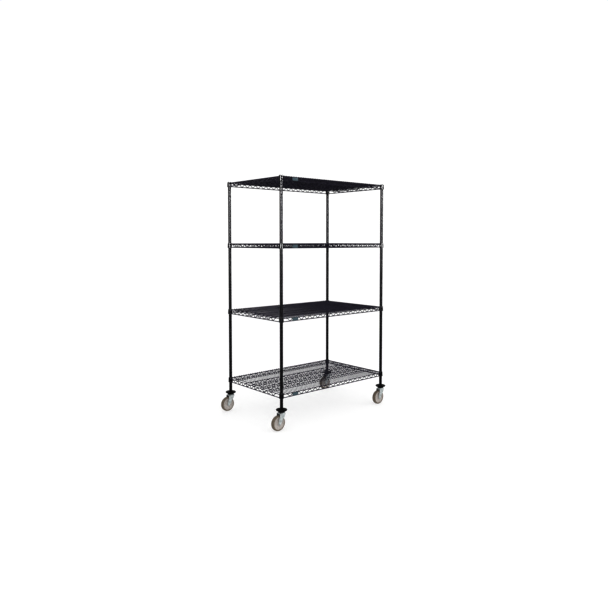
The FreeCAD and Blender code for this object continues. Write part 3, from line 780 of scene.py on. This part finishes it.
def fork_section(y_out, y_in, z_out, z_in):
    """One loop around the folded strip, with softened edges, at this place on the fold."""
    lead, trail = on_line(z_out, LEADING), on_line(z_out, TRAILING)
    above_axle = z_out - axle_level
    # Around the axle both edges run into a round boss.
    if above_axle < 2.5:
        wide = math.sqrt(max(BOSS**2 - above_axle**2, 0.3))
        around = -TRAIL + wide
        lead = max(around, lead) if above_axle > -5 else around
        trail = -TRAIL - wide
    edge = min(0.9, (lead - trail) / 5)
    soft = min(1.6, (lead - trail) / 3.5)
    loop = []
    for x, depth in (
        (trail + edge, 0),
        (trail + soft, 0),
        (lead - soft, 0),
        (lead - edge, 0),
        (lead - 0.25 * edge, 0.08),
        (lead, 0.25),
        (lead, 0.75),
        (lead - 0.25 * edge, 0.92),
        (lead - edge, 1),
        (lead - soft, 1),
        (trail + soft, 1),
        (trail + edge, 1),
        (trail + 0.25 * edge, 0.92),
        (trail, 0.75),
        (trail, 0.25),
        (trail + 0.25 * edge, 0.08),
    ):
        loop.append((x, y_out + (y_in - y_out) * depth, z_out + (z_in - z_out) * depth))
    return loop


# Sections stand close together around the boss, then every 4 mm up the leg.
rises = [-13.9, -13.6, -12.9, -11.7, -10.1, -8.1, -6, -4, -2, 0, 3, 6.5]
leg_heights = [axle_level + rise for rise in rises + [10.5 + 4 * i for i in range(15)]]
leg_heights += [crown - 10, crown - 7.5]
# (y outside, y inside, z outside, z inside): up one leg, round the fold, over the crown
half_path = [(-23, -19, z, z) for z in leg_heights]
for i in range(1, 7):
    a = math.radians(15 * i)
    c, s = math.cos(a), math.sin(a)
    half_path.append(
        (-18 - 5 * c, -17.5 - 1.5 * c, crown - 5 + 5 * s, crown - 6.5 + 1.5 * s)
    )
half_path += [(-17, -16.5, crown, crown - 5), (-8, -8, crown, crown - 5)]
path = half_path + [(-a, -b, c, d) for a, b, c, d in reversed(half_path)]
fork = Shape()
fork.loft([fork_section(*station) for station in path], ring_closed=False)
# A pressed ring on the crown carries the balls, and a washer face stands on each boss.
seat, lip = crown - 0.7, crown + 0.12
ring = rounded([(12, seat, 0), (20, seat, 0), (20, lip, 0.4), (12, lip, 0.4)], 2)
fork.turn(ring, 56)
for side in (-1, 1):
    washer = rounded(
        [
            (3.9, side * 22.6, 0),
            (10.5, side * 22.6, 0),
            (10.5, side * 23.5, 0.35),
            (3.9, side * 23.5, 0.3),
        ],
        2,
    )
    fork.add(Shape().turn(washer, 40, axis="y"), (-TRAIL, 0, axle_level))
fork_mesh = fork.at((0, 0, -fork_low)).mesh("fork", FORK_ZINC)

# ---- axle, wheel core and tyre -----------------------------------------------


def hexagon(shape, start, end):
    """A 13 mm hexagon along Y with chamfered corners, its free face at end."""
    corner, flat = 13 / math.sqrt(3), 6.5
    sign = 1 if end > start else -1

    def ring(y_corner, y_flat, cap=None):
        points = []
        for i in range(12):
            a = math.radians(30 * i)
            r = (corner if i % 2 == 0 else flat) if cap is None else cap
            y = y_corner if i % 2 == 0 else y_flat
            points.append((r * math.cos(a), y, r * math.sin(a)))
        return points

    shape.loft(
        [
            ring(start, start, 6.2),
            ring(start + sign * 0.5, start + sign * 0.15),
            ring(end - sign * 1.0, end - sign * 0.35),
            ring(end, end, 6.1),
            ring(end - sign * 0.25, end - sign * 0.25, 4.3),
        ],
        ring_closed=False,
    )


axle = Shape()
hexagon(axle, -23.05, -28.35)
hexagon(axle, 23.05, 27.6)
# The nut's locking collar, then the bolt's end with its thread
locking = rounded([(0, 27, 0), (5.9, 27, 0), (5.9, 29.4, 1.2), (4.1, 29.85, 0.4), (0, 29.85, 0)])
axle.turn(locking, 36, axis="y")
thread = [(0, -24), (4, -24), (4, 20)]
for i in range(9):
    thread += [(4.0, 20 + 1.25 * i), (3.45, 20.6 + 1.25 * i)]
thread += [(3.6, 31.4), (3.1, 31.85), (0, 31.85)]
axle.turn(thread, 28, axis="y")
axle_mesh = axle.mesh("axle", BRIGHT)
bush = rounded([(4.1, -18.95, 0.2), (6.3, -18.95, 0.4), (6.3, 18.95, 0.4), (4.1, 18.95, 0.2)], 2)
bush_mesh = Shape().turn(bush, 36, axis="y").mesh("bushing", BRIGHT)

core = Shape()
core.turn(
    rounded(
        [
            (6.35, -17.5, 0.4),
            (13.6, -17.5, 0.9),
            (15, -9, 1.6),
            (19, -8, 1.2),
            (38, -7.6, 2.0),
            (42.4, -9.4, 1.6),
            (43.6, -14.5, 0.8),
            (49.8, -14.5, 0.5),
            (49.8, 14.5, 0.5),
            (43.6, 14.5, 0.8),
            (42.4, 9.4, 1.6),
            (38, 7.6, 2.0),
            (19, 8, 1.2),
            (15, 9, 1.6),
            (13.6, 17.5, 0.9),
            (6.35, 17.5, 0.4),
        ]
    ),
    96,
    axis="y",
)
# Eight low moulded ribs run from the hub to the rim on each face.
RIB = ((13.5, 12.0), (15.5, 11.6), (20, 10.2), (30, 9.3), (38, 10.0), (43, 12.2))
for i in range(8):
    a = math.radians(45 * i + 22.5)
    out, side = Vector((math.cos(a), 0, math.sin(a))), Vector((-math.sin(a), 0, math.cos(a)))
    for sign in (-1, 1):
        loops = []
        for radius, height in RIB:
            loops.append(
                [
                    out * radius + side * across + Vector((0, sign * level, 0))
                    for across, level in (
                        (-1.9, 7),
                        (-1.5, height - 0.6),
                        (-1.0, height),
                        (1.0, height),
                        (1.5, height - 0.6),
                        (1.9, 7),
                    )
                ]
            )
        core.loft(loops, ring_closed=False)
core_mesh = core.mesh("core", CORE)

tyre = rounded(
    [
        (49.9, -14.6, 0.4),
        (51.6, -15.6, 0.6),
        (54.0, -16, 2.0),
        (58.2, -14.6, 4.0),
        (60.5, -10.2, 5.0),
        (61, -4, 20.0),
        (61, 4, 20.0),
        (60.5, 10.2, 5.0),
        (58.2, 14.6, 4.0),
        (54.0, 16, 2.0),
        (51.6, 15.6, 0.6),
        (49.9, 14.6, 0.4),
    ],
    8,
)
tyre_mesh = Shape().turn(tyre, 112, axis="y").mesh("tyre", TREAD)

for corner in CORNERS:
    post, wheel = axis[corner], middle(f"tyre_{corner}")
    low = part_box(f"bumper_{corner}")[0].z
    place = (post.x, post.y, low)
    piece(f"buffer_{corner}", bumper_mesh, "rack", [f"bumper_{corner}"], place)
    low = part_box(f"fork_{corner}")[0].z
    place = (post.x, post.y, low)
    body = f"caster_{corner}"
    piece(f"yoke_{corner}", fork_mesh, body, [f"fork_{corner}"], place)
    piece(f"bolt_{corner}", axle_mesh, body, [f"axle_{corner}"], wheel)
    piece(f"spacer_{corner}", bush_mesh, body, [f"wheel_bushing_{corner}"], wheel)
    body = f"wheel_{corner}"
    piece(f"core_{corner}", core_mesh, body, [f"wheel_core_{corner}"], wheel)
    piece(f"tread_{corner}", tyre_mesh, body, [f"tyre_{corner}"], wheel)

# ---- floor, light and camera -------------------------------------------------

floor = bpy.data.meshes.new("floor")
floor.from_pydata([(-60, -60, 0), (60, -60, 0), (60, 60, 0), (-60, 60, 0)], [], [(0, 1, 2, 3)])
floor.materials.append(studio_floor())
floor_obj = bpy.data.objects.new("floor", floor)
bpy.context.scene.collection.objects.link(floor_obj)
floor_obj.location.z = -0.0005

world = bpy.data.worlds.new("studio")
world.use_nodes = True
world.node_tree.nodes["Background"].inputs["Color"].default_value = (1, 1, 1, 1)
world.node_tree.nodes["Background"].inputs["Strength"].default_value = 1.04
bpy.context.scene.world = world


def softbox(name, place, target, size, power, lit=()):
    """A soft light panel. If lit names pieces, it is a highlight card for those alone."""
    light = bpy.data.lights.new(name, "AREA")
    light.shape = "RECTANGLE"
    light.size, light.size_y = size
    light.energy = power
    obj = bpy.data.objects.new(name, light)
    bpy.context.scene.collection.objects.link(obj)
    obj.location = place
    obj.rotation_euler = (Vector(target) - Vector(place)).to_track_quat("-Z", "Y").to_euler()
    if lit:
        receivers = bpy.data.collections.new(f"{name}_lights")
        for item in lit:
            receivers.objects.link(bpy.data.objects[item])
        obj.light_linking.receiver_collection = receivers
        obj.visible_diffuse = False


centre = (cad_bounds[0] + cad_bounds[1]) / 2
softbox("key", (-2.9, -3.5, 3.0), centre, (0.6, 1.4), 60)
softbox("fill", (3.6, -2.6, 2.8), centre, (0.5, 1.4), 25)
uprights = [f"tube_{corner}" for corner in CORNERS]
uprights += [f"{shelf}_{part}" for shelf in SHELVES for part in ("collars", "sleeves")] + ["caps"]
softbox("card_left", (-4.4, -2.4, 2.35), (0, 0, 2.2), (1.6, 1.5), 2600, uprights)
softbox("card_right", (0.9, -4.9, 2.35), (0, 0, 2.2), (1.6, 1.5), 2300, uprights)

camera = bpy.data.cameras.new("camera")
camera.sensor_width = 36
camera.lens = 34.137
camera.shift_y = -0.0559
camera_obj = bpy.data.objects.new("camera", camera)
bpy.context.scene.collection.objects.link(camera_obj)
near = axis["front_left"]
# The camera stands a few steps back from the near post, a little below eye level.
camera_obj.location = Vector((near.x, near.y, 0)) + Vector((-111.87, -139.65, 59.3)) * INCH * MM
camera_obj.rotation_euler = (math.radians(90 - 2.862), 0, math.radians(-40.96))
bpy.context.scene.camera = camera_obj
bpy.context.scene.view_settings.view_transform = "Standard"
bpy.context.scene.view_settings.gamma = 0.6
